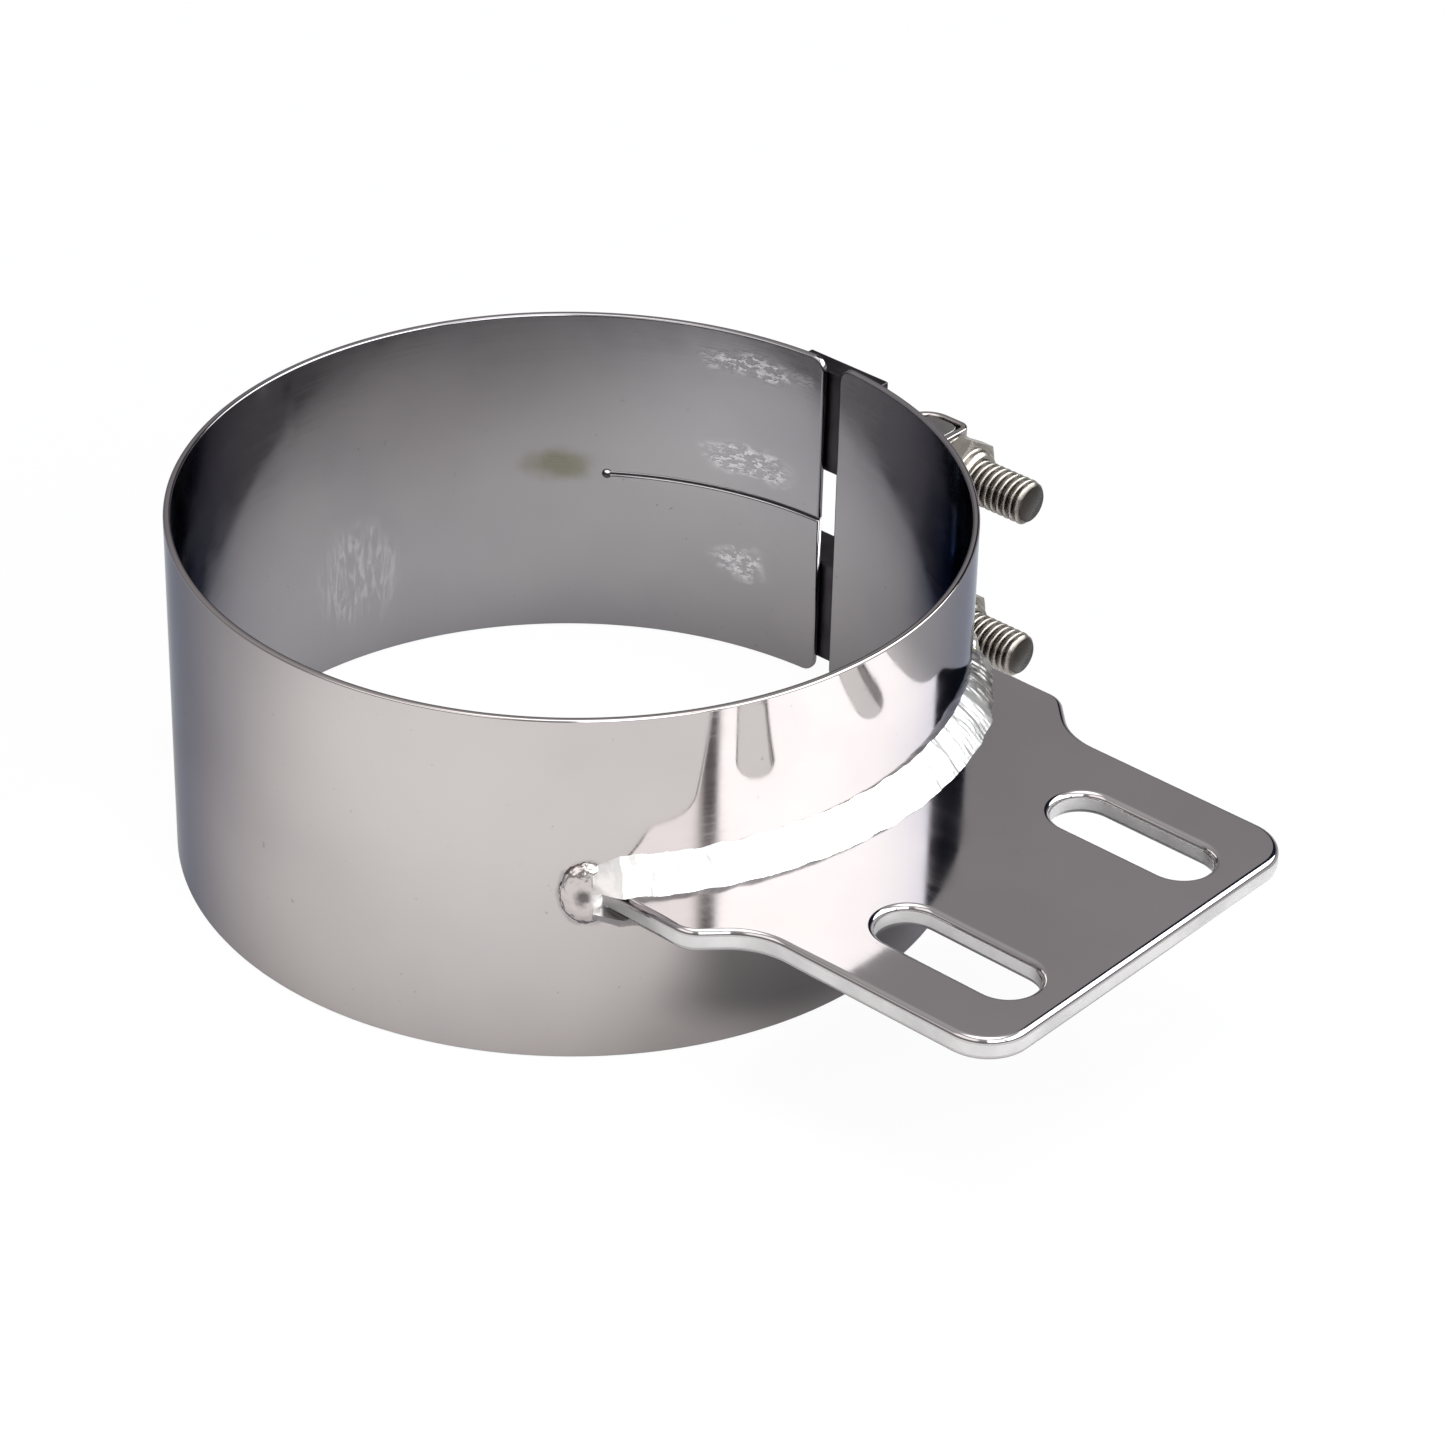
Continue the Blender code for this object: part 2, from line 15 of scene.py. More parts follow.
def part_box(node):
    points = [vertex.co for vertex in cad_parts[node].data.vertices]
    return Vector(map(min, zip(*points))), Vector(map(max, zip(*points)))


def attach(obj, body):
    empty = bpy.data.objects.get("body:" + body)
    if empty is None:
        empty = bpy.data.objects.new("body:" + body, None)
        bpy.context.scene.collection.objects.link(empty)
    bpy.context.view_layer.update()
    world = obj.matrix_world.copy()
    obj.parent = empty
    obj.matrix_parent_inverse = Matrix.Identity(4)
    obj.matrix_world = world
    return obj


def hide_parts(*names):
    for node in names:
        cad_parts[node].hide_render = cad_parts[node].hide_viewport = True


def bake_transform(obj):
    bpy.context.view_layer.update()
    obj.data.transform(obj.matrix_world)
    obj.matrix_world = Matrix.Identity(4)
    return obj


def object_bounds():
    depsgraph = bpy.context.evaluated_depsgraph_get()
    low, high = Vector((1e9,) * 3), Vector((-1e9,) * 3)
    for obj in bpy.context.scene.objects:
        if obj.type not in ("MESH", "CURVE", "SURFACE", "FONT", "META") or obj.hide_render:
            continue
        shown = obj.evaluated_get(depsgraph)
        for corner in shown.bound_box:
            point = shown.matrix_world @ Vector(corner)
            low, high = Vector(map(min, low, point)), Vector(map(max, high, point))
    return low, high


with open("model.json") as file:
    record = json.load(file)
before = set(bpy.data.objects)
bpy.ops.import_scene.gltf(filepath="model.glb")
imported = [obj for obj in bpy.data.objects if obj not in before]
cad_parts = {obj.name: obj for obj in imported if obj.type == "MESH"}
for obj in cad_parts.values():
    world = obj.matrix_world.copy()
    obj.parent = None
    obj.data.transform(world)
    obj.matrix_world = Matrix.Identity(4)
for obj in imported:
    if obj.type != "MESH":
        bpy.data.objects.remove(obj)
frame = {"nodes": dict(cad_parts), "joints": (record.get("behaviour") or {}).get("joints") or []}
cad_low, cad_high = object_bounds()

MM = 0.001
UP = math.pi / 2
TINY = 1e-7
MERGE = 0.002 * MM  # points nearer than this are merged
CLEAR = 0.1 * MM  # what sits on the band stands this far off it, and what is sunk in it goes this deep

# band
OUTER = 77.7 * MM
WALL = 1.5 * MM
BAND_LOW, BAND_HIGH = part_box("band_bracket_half")
HEIGHT = BAND_HIGH.z - BAND_LOW.z
BAND_GAP = 4.2 * MM
BAND_EDGE = 0.5 * MM
BAND_CORNER = 3.0 * MM
BAND_STEP = math.radians(1.0)
SLIT_ANGLE = math.radians(37.5)
SLIT_HEIGHT = 0.5 * MM  # at mid thickness, where the rounded cut is narrowest
STOP_HOLE_TURN = math.radians(18)
STOP_HOLE = 0.6 * MM
JOINTS = {joint["name"]: joint for joint in frame["joints"]}
SPINE = Vector(JOINTS["band_flex"]["pos_m"])
AXIS = SPINE + Vector((0, OUTER - WALL / 2, 0))

# bracket
PLATE_LOW, PLATE_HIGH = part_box("bracket_plate")
PLATE = PLATE_HIGH.z - PLATE_LOW.z
PLATE_EDGE = 1.25 * MM
PLATE_END = PLATE_HIGH.x - AXIS.x
PLATE_WIDTH = 89.7 * MM
PLATE_CORNER = 9.5 * MM
YOKE_WIDTH = PLATE_HIGH.y - PLATE_LOW.y
YOKE_START = 76.0 * MM
YOKE_ROUND = 6.0 * MM
NECK_ROUND = 14.0 * MM
SLOT_WIDTH = 12.7 * MM
SLOT_LENGTH = 34.9 * MM
SLOT_PITCH = 50.8 * MM

# welds
WELD_LEG = 5.4 * MM
WELD_END_ANGLE = math.radians(45.0)

# hardware
BOLT_RADIUS = 4.62 * MM
PITCH = 25.4 / 16 * MM
THREAD_DEPTH = 0.85 * MM
PASSAGE = 4.76 * MM
BOLT_INWARD = 1.5 * MM
BOLT_OUTWARD = 0.5 * MM
STRAP = 1.4 * MM
STRAP_BEND = 2.4 * MM
BIGHT_ROUND = 6.4 * MM
FOOT_STEP = math.radians(2)
STRAP_EDGE = 0.4 * MM
COLLAR = 1.9 * MM
SOFT_EDGE = 0.35 * MM
NUT_BORE = 4.7 * MM
WASHER_BORE = 5.1 * MM
WASHER_EDGE = 0.2 * MM

# camera
CAMERA_PLACE = (0.432808, -0.593212, 0.502219)
CAMERA_FORWARD = (-0.55015, 0.63833, -0.53839)
CAMERA_RIGHT = (0.74814, 0.66318, 0.02181)
CAMERA_LENS = 122.0


# nodes
def add_node(tree, kind, inputs=(), **settings):
    """A node whose inputs take either a value or another node's output."""
    made = tree.nodes.new(kind)
    for key, value in settings.items():
        setattr(made, key, value)
    for key, value in dict(inputs).items():
        if isinstance(value, bpy.types.NodeSocket):
            tree.links.new(value, made.inputs[key])
        else:
            made.inputs[key].default_value = value
    return made


def calc(tree, operation, a, b=0.0):
    return add_node(tree, "ShaderNodeMath", {0: a, 1: b}, operation=operation).outputs[0]


def ramp(tree, value, low, high, to_low=0.0, to_high=1.0):
    """value eased from low to high, as to_low to to_high."""
    inputs = {"Value": value, "From Min": low, "From Max": high, "To Min": to_low, "To Max": to_high}
    return add_node(tree, "ShaderNodeMapRange", inputs, interpolation_type="SMOOTHSTEP").outputs[0]


def mixed(tree, factor, a, b):
    """A colour between a and b."""
    made = add_node(tree, "ShaderNodeMix", {0: factor}, data_type="RGBA")
    for index, value in ((6, a), (7, b)):
        if isinstance(value, bpy.types.NodeSocket):
            tree.links.new(value, made.inputs[index])
        else:
            made.inputs[index].default_value = (*value, 1)
    return made.outputs[2]


def noise_of(tree, vector, scale, detail=3.0, roughness=0.55, distortion=0.0):
    inputs = {"Vector": vector, "Scale": scale, "Detail": detail, "Roughness": roughness}
    inputs["Distortion"] = distortion
    return add_node(tree, "ShaderNodeTexNoise", inputs).outputs[0]


def hypotenuse(tree, a, b):
    squares = calc(tree, "ADD", calc(tree, "MULTIPLY", a, a), calc(tree, "MULTIPLY", b, b))
    return calc(tree, "SQRT", squares)


def scaled(tree, vector, scale):
    return add_node(tree, "ShaderNodeVectorMath", {0: vector, 1: scale}, operation="MULTIPLY").outputs[0]


# materials
class Finish:
    """A metal whose colour, roughness and height are built up layer by layer from object coordinates."""

    def __init__(self, name, colour, roughness, grazing=(1.0, 1.0, 1.0)):
        self.material = bpy.data.materials.new(name)
        self.material.use_nodes = True
        self.tree = self.material.node_tree
        self.shader = self.tree.nodes["Principled BSDF"]
        self.shader.inputs["Metallic"].default_value = 1.0
        self.shader.inputs["Specular Tint"].default_value = (*grazing, 1)
        self.coords = add_node(self.tree, "ShaderNodeTexCoord").outputs["Object"]
        self.colour = colour
        self.rough = roughness
        self.height = None

    def tone(self, scale, other, amount, detail=3.0):
        """Mottles the colour towards another."""
        spread = noise_of(self.tree, self.coords, scale, detail)
        self.colour = mixed(self.tree, ramp(self.tree, spread, 0.35, 0.7, 0, amount), self.colour, other)

    def tint(self, mask, other):
        self.colour = mixed(self.tree, mask, self.colour, other)

    def roughen(self, value, amount):
        self.rough = calc(self.tree, "ADD", self.rough, calc(self.tree, "MULTIPLY", value, amount))

    def raise_by(self, value, metres):
        layer = calc(self.tree, "MULTIPLY", value, metres)
        self.height = layer if self.height is None else calc(self.tree, "ADD", self.height, layer)

    def finish(self):
        links = self.tree.links
        if isinstance(self.colour, bpy.types.NodeSocket):
            links.new(self.colour, self.shader.inputs["Base Color"])
        if isinstance(self.rough, bpy.types.NodeSocket):
            links.new(self.rough, self.shader.inputs["Roughness"])
        if self.height is not None:
            inputs = {"Height": self.height, "Distance": 1.0, "Strength": 1.0}
            bump = add_node(self.tree, "ShaderNodeBump", inputs)
            links.new(bump.outputs[0], self.shader.inputs["Normal"])
        return self.material


def band_coords(finish):
    """Arc length from +X and height above the band's middle, in metres, and both as one vector."""
    tree = finish.tree
    moved = add_node(tree, "ShaderNodeVectorMath", {0: finish.coords, 1: AXIS}, operation="SUBTRACT")
    parts = add_node(tree, "ShaderNodeSeparateXYZ", {0: moved.outputs[0]}).outputs
    angle = calc(tree, "ARCTAN2", parts[1], parts[0])
    along = calc(tree, "MULTIPLY", angle, OUTER)
    both = add_node(tree, "ShaderNodeCombineXYZ", {0: along, 1: parts[2]}).outputs[0]
    return along, parts[2], both


def spot(finish, along, up, degrees, height, half_length, half_height, ragged, scale, inside=0.55):
    """1 inside an oval patch on the band, 0 outside it, with a ragged rim."""
    tree = finish.tree
    arc_length = math.radians(degrees) * OUTER
    across = calc(tree, "DIVIDE", calc(tree, "SUBTRACT", along, arc_length), half_length)
    above = calc(tree, "DIVIDE", calc(tree, "SUBTRACT", up, height), half_height)
    around_zero = calc(tree, "SUBTRACT", noise_of(tree, finish.coords, scale), 0.5)
    wander = calc(tree, "MULTIPLY", around_zero, ragged)
    distance = calc(tree, "ADD", hypotenuse(tree, across, above), wander)
    return ramp(tree, distance, inside, 1.0, 1.0, 0.0)


def polish(finish, both, waviness=1.0):
    """Faint lines left by the polishing belt, broad waviness, and specks."""
    tree = finish.tree
    lines = noise_of(tree, scaled(tree, both, (40.0, 2600.0, 1.0)), 1.0, 4.0, 0.6)
    finish.roughen(ramp(tree, lines, 0.35, 0.8), 0.05)
    finish.raise_by(lines, 0.0000006)
    smear = noise_of(tree, scaled(tree, both, (22.0, 60.0, 1.0)), 1.0, 3.0, 0.6)
    finish.roughen(ramp(tree, smear, 0.4, 0.75), 0.07)
    finish.raise_by(noise_of(tree, finish.coords, 28.0, 1.0), 0.00006 * waviness)
    specks = noise_of(tree, finish.coords, 700.0, 2.0)
    finish.tint(ramp(tree, specks, 0.72, 0.8, 0.0, 0.5), (0.12, 0.10, 0.09))


def band_outside():
    finish = Finish("polished_band_outside", (0.41, 0.378, 0.370), 0.045, (0.45, 0.48, 0.56))
    finish.tone(14.0, (0.35, 0.325, 0.33), 0.7)
    along, up, both = band_coords(finish)
    polish(finish, both)
    tree = finish.tree
    for side in (-1, 1):
        degrees = side * math.degrees(WELD_END_ANGLE)
        burn = spot(finish, along, up, degrees, 0.0, 5.9 * MM, 7.6 * MM, 0.35, 260.0, 0.86)
        inner = spot(finish, along, up, degrees, 0.0, 5.2 * MM, 6.9 * MM, 0.35, 260.0, 0.80)
        rim = calc(tree, "SUBTRACT", burn, inner)
        finish.tint(calc(tree, "MULTIPLY", rim, 0.45), (0.12, 0.10, 0.105))
        finish.roughen(inner, 0.08)
    return finish.finish()


def weld_end_finish():
    """The lump at each end of the yoke: grey, with a dark crater, a straw and green heat tint, and a painted
    highlight.
    """
    finish = Finish("weld_end_metal", (0.42, 0.385, 0.375), 0.13)
    tree = finish.tree
    along, up, _ = band_coords(finish)
    for side in (-1, 1):
        degrees = side * math.degrees(WELD_END_ANGLE)
        crater = spot(finish, along, up, degrees + side * 0.6, 0.2 * MM, 2.2 * MM, 2.6 * MM, 1.5, 480.0, 0.2)
        finish.tint(calc(tree, "MULTIPLY", crater, 0.85), (0.06, 0.055, 0.055))
        straw = spot(finish, along, up, degrees - side * 2.2, 4.2 * MM, 2.6 * MM, 1.8 * MM, 1.2, 420.0, 0.2)
        finish.tint(calc(tree, "MULTIPLY", straw, 0.6), (0.34, 0.38, 0.20))
        # painted highlight: a near-white patch on the lump, standing in for a bright reflection
        highlight_patch = spot(finish, along, up, degrees - side * 2.4, -0.6 * MM, 2.4 * MM, 3.2 * MM, 1.2, 420.0, 0.2)
        finish.tint(calc(tree, "MULTIPLY", highlight_patch, 0.8), (0.85, 0.83, 0.83))
    finish.roughen(noise_of(tree, finish.coords, 700.0, 3.0), 0.16)
    finish.raise_by(noise_of(tree, finish.coords, 600.0, 3.0), 0.00006)
    return finish.finish()


def band_inside():
    # painted shade: the inside is a darker copy of the outside's steel, with a dark grazing tint, standing in
    # for the shaded floor that it reflects
    finish = Finish("polished_band_inside", (0.345, 0.33, 0.337), 0.075, (0.20, 0.23, 0.31))
    finish.tone(16.0, (0.285, 0.275, 0.29), 0.8)
    along, up, both = band_coords(finish)
    tree = finish.tree
    polish(finish, both, 1.6)
    clouds = noise_of(tree, finish.coords, 45.0, 4.0)
    finish.roughen(ramp(tree, clouds, 0.4, 0.75), 0.10)
    # painted reflection: darker towards the top, standing in for the shaded floor that the upper inside
    # reflects
    finish.tint(ramp(tree, up, 4 * MM, 36 * MM, 0.0, 0.4), (0.19, 0.18, 0.19))
    # stands in for a dark reflection that the photo shows here
    shadow = spot(finish, along, up, 57.0, 8 * MM, 22 * MM, 26 * MM, 0.9, 40.0, 0.25)
    finish.tint(calc(tree, "MULTIPLY", shadow, 0.62), (0.05, 0.06, 0.085))
    smudge = spot(finish, along, up, 135.0, 2.0 * MM, 10.5 * MM, 5.0 * MM, 0.9, 160.0, 0.2)
    finish.tint(calc(tree, "MULTIPLY", smudge, 0.75), (0.20, 0.19, 0.13))
    finish.roughen(smudge, 0.14)
    grit = noise_of(tree, scaled(tree, both, (420.0, 900.0, 1.0)), 1.0, 5.0, 0.7)
    flecks = ramp(tree, grit, 0.45, 0.56, 0.0, 0.6)
    # band angle in degrees, then height, half length and half height in millimetres
    patches = ((104.0, 30.0, 13.0, 4.0), (105.0, 8.0, 13.0, 5.0), (105.0, -17.0, 9.0, 5.0))
    marks = 0.0
    for degrees, height, half_length, half_height in patches:
        sizes = (height * MM, half_length * MM, half_height * MM)
        patch = spot(finish, along, up, degrees, *sizes, 1.3, 120.0, 0.4)
        marks = calc(tree, "MAXIMUM", marks, calc(tree, "MULTIPLY", patch, flecks))
    scratches = noise_of(tree, scaled(tree, both, (700.0, 120.0, 1.0)), 1.0, 4.0, 0.7, 1.5)
    area = spot(finish, along, up, 169.0, -17.0 * MM, 14.0 * MM, 15.0 * MM, 1.0, 70.0, 0.4)
    streaks = calc(tree, "MULTIPLY", area, ramp(tree, scratches, 0.46, 0.60, 0.0, 0.2))
    marks = calc(tree, "MAXIMUM", marks, streaks)
    finish.tint(marks, (0.80, 0.79, 0.80))
    finish.roughen(marks, 0.30)
    finish.raise_by(marks, 0.00003)
    metal = calc(tree, "SUBTRACT", 1.0, calc(tree, "MULTIPLY", marks, 0.6))
    tree.links.new(metal, finish.shader.inputs["Metallic"])
    return finish.finish()


def slit_shade_finish():
    # painted shade: the slit's walls and the stop hole's rims are near black, standing in for the shade inside
    # the narrow cut
    finish = Finish("slit_painted_shade", (0.10, 0.095, 0.10), 0.35)
    finish.tone(500.0, (0.04, 0.035, 0.035), 0.8)
    finish.roughen(noise_of(finish.tree, finish.coords, 1500.0, 3.0), 0.2)
    return finish.finish()


def plate_finish():
    finish = Finish("polished_plate", (0.40, 0.378, 0.380), 0.06)
    finish.tone(20.0, (0.35, 0.33, 0.34), 0.6)
    tree = finish.tree
    polish(finish, finish.coords, 0.5)
    along, up, _ = band_coords(finish)
    straw = spot(finish, along, up, 45.0, 2.5 * MM, 7.0 * MM, 9.0 * MM, 1.3, 150.0, 0.1)
    finish.tint(calc(tree, "MULTIPLY", straw, 0.5), (0.30, 0.24, 0.19))
    return finish.finish()


def plate_edge_highlight_finish():
    # painted highlight: the plate's side faces are a lighter copy of the plate's steel, standing in for the
    # bright light along its edges
    finish = Finish("plate_edge_painted_highlight", (0.56, 0.545, 0.545), 0.14)
    finish.tone(90.0, (0.42, 0.41, 0.41), 0.7)
    finish.raise_by(noise_of(finish.tree, finish.coords, 120.0, 3.0), 0.00003)
    return finish.finish()


def strap_finish():
    finish = Finish("polished_strap", (0.42, 0.39, 0.38), 0.10)
    finish.tone(60.0, (0.30, 0.28, 0.27), 0.7)
    polish(finish, finish.coords, 0.5)
    finish.raise_by(noise_of(finish.tree, finish.coords, 220.0, 2.0), 0.00002)
    return finish.finish()


def weld_finish():
    finish = Finish("weld_metal", (0.50, 0.49, 0.49), 0.24)
    tree = finish.tree
    finish.tone(420.0, (0.44, 0.42, 0.41), 0.7)
    along, up, _ = band_coords(finish)
    burn = spot(finish, along, up, 41.0, 0.0, 20.0 * MM, 12.0 * MM, 0.6, 200.0, 0.7)
    finish.tint(calc(tree, "MULTIPLY", burn, 0.85), (0.24, 0.22, 0.21))
    pits = ramp(tree, noise_of(tree, finish.coords, 520.0, 3.0), 0.48, 0.58)
    finish.tint(calc(tree, "MULTIPLY", burn, calc(tree, "MULTIPLY", pits, 0.85)), (0.10, 0.09, 0.09))
    finish.roughen(noise_of(tree, finish.coords, 900.0, 3.0), 0.20)
    finish.raise_by(noise_of(tree, finish.coords, 1100.0, 3.0), 0.00005)
    return finish.finish()


def fastener_finish():
    """Steel with painted shade in the thread grooves; both bolts stand equally far from the band's mid height.
    """
    finish = Finish("fastener_steel", (0.30, 0.275, 0.25), 0.16)
    finish.tone(300.0, (0.20, 0.175, 0.155), 0.7)
    tree = finish.tree
    parts = add_node(tree, "ShaderNodeSeparateXYZ", {0: finish.coords}).outputs
    pivot = JOINTS["upper_bolt_swivel"]["pos_m"]
    aside = calc(tree, "SUBTRACT", parts[1], pivot[1])
    from_middle = calc(tree, "ABSOLUTE", calc(tree, "SUBTRACT", parts[2], AXIS.z))
    above = calc(tree, "SUBTRACT", from_middle, pivot[2] - AXIS.z)
    root = BOLT_RADIUS - THREAD_DEPTH
    crest = BOLT_RADIUS - 0.15 * MM
    # painted shade: the thread's roots are darkened towards near black
    deep = ramp(tree, hypotenuse(tree, aside, above), root, crest, 0.9, 0.0)
    finish.tint(deep, (0.03, 0.025, 0.022))
    finish.roughen(noise_of(tree, finish.coords, 1400.0, 3.0), 0.22)
    finish.raise_by(noise_of(tree, finish.coords, 1800.0, 3.0), 0.00001)
    return finish.finish()


def block_finish(name, colour, patches):
    finish = Finish(name, colour, 0.22, (0.5, 0.5, 0.5))
    finish.tone(120.0, patches, 0.8)
    tree = finish.tree
    finish.roughen(noise_of(tree, scaled(tree, finish.coords, (60.0, 900.0, 900.0)), 1.0, 3.0), 0.25)
    finish.raise_by(noise_of(tree, finish.coords, 900.0, 3.0), 0.00002)
    return finish.finish()


# outlines
def arc(centre, radius, start, end, step=math.radians(5)):
    """Points along an arc, both ends included, no further apart than a step."""
    count = max(1, math.ceil(abs(end - start) / step - 1e-6))
    angles = [start + (end - start) * i / count for i in range(count + 1)]
    return [(centre[0] + radius * math.cos(a), centre[1] + radius * math.sin(a)) for a in angles]


def rounded(corners):
    """An outline through (x, y, radius) corners, each turned into an arc of its radius."""
    points = []
    for i, (x, y, radius) in enumerate(corners):
        here = Vector((x, y))
        back = (Vector(corners[i - 1][:2]) - here).normalized()
        ahead = (Vector(corners[(i + 1) % len(corners)][:2]) - here).normalized()
        if radius <= 0:
            points.append((x, y))
            continue
        half = back.angle(ahead) / 2
        middle = here + (back + ahead).normalized() * radius / math.sin(half)
        first = here + back * radius / math.tan(half) - middle
        last = here + ahead * radius / math.tan(half) - middle
        start = math.atan2(first.y, first.x)
        turn = math.remainder(math.atan2(last.y, last.x) - start, 2 * math.pi)
        points += arc(middle, radius, start, start + turn)
    return points


def slot_outline(centre, length, width):
    x, y = centre
    run = (length - width) / 2
    return arc((x + run, y), width / 2, -UP, UP) + arc((x - run, y), width / 2, UP, 3 * UP)


def bracket_outline():
    """Half the outline from the band out to the end, and its mirror image."""
    side = YOKE_WIDTH / 2
    half_width = PLATE_WIDTH / 2
    seat = OUTER + CLEAR
    ear = math.asin(side / seat)
    slope = math.pi / 4
    yoke = arc((YOKE_START, side - YOKE_ROUND), YOKE_ROUND, UP, UP - slope)
    drop = side - half_width - (YOKE_ROUND + NECK_ROUND) * (1 - math.cos(slope))
    neck_x = yoke[-1][0] + drop + NECK_ROUND * math.sin(slope)
    neck = arc((neck_x, half_width + NECK_ROUND), NECK_ROUND, -UP - slope, -UP)
    corner = arc((PLATE_END - PLATE_CORNER, half_width - PLATE_CORNER), PLATE_CORNER, UP, 0)
    half = yoke + neck + corner
    mirrored = [(x, -y) for x, y in reversed(half)]
    return arc((0, 0), seat, -ear, ear, math.radians(1)) + half + mirrored


def band_outline():
    """The band laid flat, from one side of its gap to the other, with the slit open at the first end."""
    start = BAND_GAP / 2
    end = 2 * math.pi * OUTER - BAND_GAP / 2
    top = HEIGHT / 2
    slit = SLIT_HEIGHT / 2
    hole_x = SLIT_ANGLE * OUTER
    mouth = math.asin(slit / STOP_HOLE)
    corners = [
        (start, -top, BAND_CORNER),
        (end, -top, BAND_CORNER),
        (end, top, BAND_CORNER),
        (start, top, BAND_CORNER),
    ]
    hole = arc((hole_x, 0), STOP_HOLE, math.pi - mouth, -math.pi + mouth, STOP_HOLE_TURN)
    return rounded(corners) + [(start, slit)] + hole + [(start, -slit)]


def strap_outlines(near, far, top):
    """The outside and the cavity of a folded strap on the band, rounder at x = near than at x = far."""
    outlines = []
    for inset in (0, STRAP):
        radius = OUTER + CLEAR + inset
        x_near = near + math.copysign(inset, far - near)
        x_far = far - math.copysign(inset, far - near)
        angles = [math.acos(x / radius) for x in (x_near, x_far)]
        foot = arc((0, 0), radius, *angles, FOOT_STEP)
        bend = STRAP_BEND - inset
        corners = [(*foot[0], bend)] + [(x, y, 0) for x, y in foot[2:-2]] + [(*foot[-1], bend)]
        corners += [(x_far, top - inset, bend), (x_near, top - inset, BIGHT_ROUND - inset)]
        outlines.append(rounded(corners))
    return outlines


# meshes
def link(name, mesh, material, body=None, replaces=()):
    piece = bpy.data.objects.new(name, mesh)
    bpy.context.scene.collection.objects.link(piece)
    mesh.materials.append(material)
    if body:
        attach(piece, body)
    if replaces:
        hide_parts(*replaces)
    return piece


def mesh_from(name, bm, smooth_angle=math.radians(35)):
    bmesh.ops.recalc_face_normals(bm, faces=bm.faces)
    if bm.calc_volume(signed=True) < 0:
        bmesh.ops.reverse_faces(bm, faces=bm.faces)
    mesh = bpy.data.meshes.new(name)
    bm.to_mesh(mesh)
    bm.free()
    mesh.shade_smooth()
    mesh.set_sharp_from_angle(angle=smooth_angle)
    return mesh


def sheet_bmesh(name, outlines, thickness, edge):
    """A flat plate centred on z = 0 with its edges rounded; later outlines are holes."""
    curve = bpy.data.curves.new(name, "CURVE")
    curve.dimensions = "2D"
    curve.fill_mode = "BOTH"
    curve.extrude = thickness / 2 - edge
    curve.bevel_depth = edge
    curve.bevel_resolution = 3
    curve.offset = -edge
    for outline in outlines:
        spline = curve.splines.new("POLY")
        spline.points.add(len(outline) - 1)
        spline.use_cyclic_u = True
        for point, (x, y) in zip(spline.points, outline):
            point.co = (x, y, 0, 1)
    guide = bpy.data.objects.new(name + "_guide", curve)
    bm = bmesh.new()
    bm.from_mesh(bpy.data.meshes.new_from_object(guide))
    bmesh.ops.remove_doubles(bm, verts=bm.verts, dist=MERGE)
    bpy.data.objects.remove(guide)
    return bm


def face_normals(mesh, on_face):
    """Gives the points of a sheet's two faces the face's own normal, so only its edges shade as round."""
    normals = [on_face(vertex) or vertex.normal.copy() for vertex in mesh.vertices]
    mesh.normals_split_custom_set_from_vertices(normals)


def cut(mesh, cutter_bmesh, operation="DIFFERENCE"):
    """The mesh after an exact Boolean with the cutter."""
    bmesh.ops.recalc_face_normals(cutter_bmesh, faces=cutter_bmesh.faces)
    tool = bpy.data.meshes.new("tool")
    cutter_bmesh.to_mesh(tool)
    cutter_bmesh.free()
    items = [bpy.data.objects.new("cut_item", data) for data in (mesh, tool)]
    for item in items:
        bpy.context.scene.collection.objects.link(item)
    modifier = items[0].modifiers.new("cut", "BOOLEAN")
    modifier.operation = operation
    modifier.solver = "EXACT"
    modifier.object = items[1]
    bpy.context.view_layer.update()
    evaluated = items[0].evaluated_get(bpy.context.evaluated_depsgraph_get())
    made = bpy.data.meshes.new_from_object(evaluated)
    for item in items:
        bpy.data.objects.remove(item)
    return made


def soften(piece, width, segments=3, angle=math.radians(30)):
    modifier = piece.modifiers.new("soften", "BEVEL")
    modifier.width = width
    modifier.segments = segments
    modifier.limit_method = "ANGLE"
    modifier.angle_limit = angle
    modifier.harden_normals = False
    weighted = piece.modifiers.new("weighted", "WEIGHTED_NORMAL")
    weighted.keep_sharp = False
    weighted.weight = 60
    return piece


def passage_bmesh(place, start, end, inward=BOLT_INWARD, outward=BOLT_OUTWARD):
    """A cutter along X for the room that a bolt needs as the clamp opens and closes."""
    outer = arc((place.y + outward, place.z), PASSAGE, -UP, UP)
    outline = outer + arc((place.y - inward, place.z), PASSAGE, UP, 3 * UP)
    bm = bmesh.new()
    face = bm.faces.new([bm.verts.new((start, y, z)) for y, z in outline])
    moved = bmesh.ops.extrude_face_region(bm, geom=[face])["geom"]
    verts = [v for v in moved if isinstance(v, bmesh.types.BMVert)]
    bmesh.ops.translate(bm, verts=verts, vec=(end - start, 0, 0))
    return bm


def grid_mesh(name, rows, close_rows=False, caps=True):
    """A surface through closed rings of points. caps fills the first ring and the last."""
    bm = bmesh.new()
    rings = [[bm.verts.new(point) for point in row] for row in rows]
    pairs = list(zip(rings, rings[1:]))
    if close_rows:
        pairs.append((rings[-1], rings[0]))
    for ring, after in pairs:
        for i in range(len(ring)):
            j = (i + 1) % len(ring)
            bm.faces.new((ring[i], ring[j], after[j], after[i]))
    if caps and not close_rows:
        bm.faces.new(rings[0])
        bm.faces.new(rings[-1])
    return mesh_from(name, bm)


